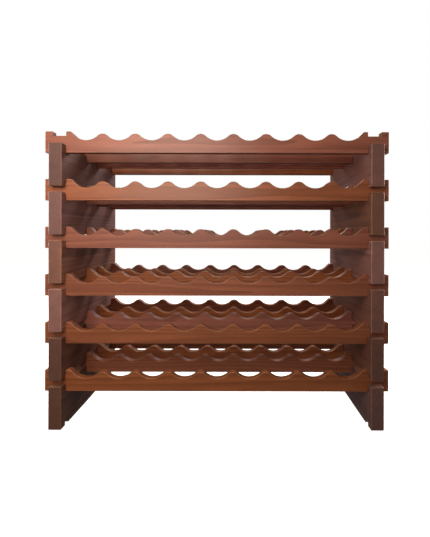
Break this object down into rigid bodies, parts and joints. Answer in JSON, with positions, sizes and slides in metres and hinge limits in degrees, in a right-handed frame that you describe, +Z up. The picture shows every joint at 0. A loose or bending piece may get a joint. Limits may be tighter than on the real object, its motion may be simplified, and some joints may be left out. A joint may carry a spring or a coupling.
{
  "type": "wine rack",
  "caption": "Free-standing wine rack of stained wood: storeys of wavy rails slotted into side boards, bottles lying front to back.",
  "frame": {"origin": "on the floor, at the middle of the rack's footprint", "axes": "+Z up; +X to the right along the rails, seen from the front; +Y to the rear, so bottle necks point to -Y"},
  "size_m": [0.933, 0.324, 0.7981],
  "materials": {
    "rail_wood": "reddish-brown stain under satin lacquer, grain along the rail",
    "board_wood": "darker brown stain under satin lacquer, end grain at front and rear"
  },
  "bodies": {
    "root": {"left_side_board_1": "board_wood", "right_side_board_1": "board_wood", "front_rail_1": "rail_wood", "inner_front_rail_1": "rail_wood", "inner_rear_rail_1": "rail_wood", "rear_rail_1": "rail_wood", "left_side_board_2": "board_wood", "right_side_board_2": "board_wood", "front_rail_2": "rail_wood", "inner_front_rail_2": "rail_wood", "inner_rear_rail_2": "rail_wood", "rear_rail_2": "rail_wood", "left_side_board_3": "board_wood", "right_side_board_3": "board_wood", "front_rail_3": "rail_wood", "inner_front_rail_3": "rail_wood", "inner_rear_rail_3": "rail_wood", "rear_rail_3": "rail_wood", "left_side_board_4": "board_wood", "right_side_board_4": "board_wood", "front_rail_4": "rail_wood", "inner_front_rail_4": "rail_wood", "inner_rear_rail_4": "rail_wood", "rear_rail_4": "rail_wood", "left_side_board_5": "board_wood", "right_side_board_5": "board_wood", "front_rail_5": "rail_wood", "inner_front_rail_5": "rail_wood", "inner_rear_rail_5": "rail_wood", "rear_rail_5": "rail_wood", "left_side_board_6": "board_wood", "right_side_board_6": "board_wood", "front_rail_6": "rail_wood", "inner_front_rail_6": "rail_wood", "inner_rear_rail_6": "rail_wood", "rear_rail_6": "rail_wood"}
  },
  "joints": []
}
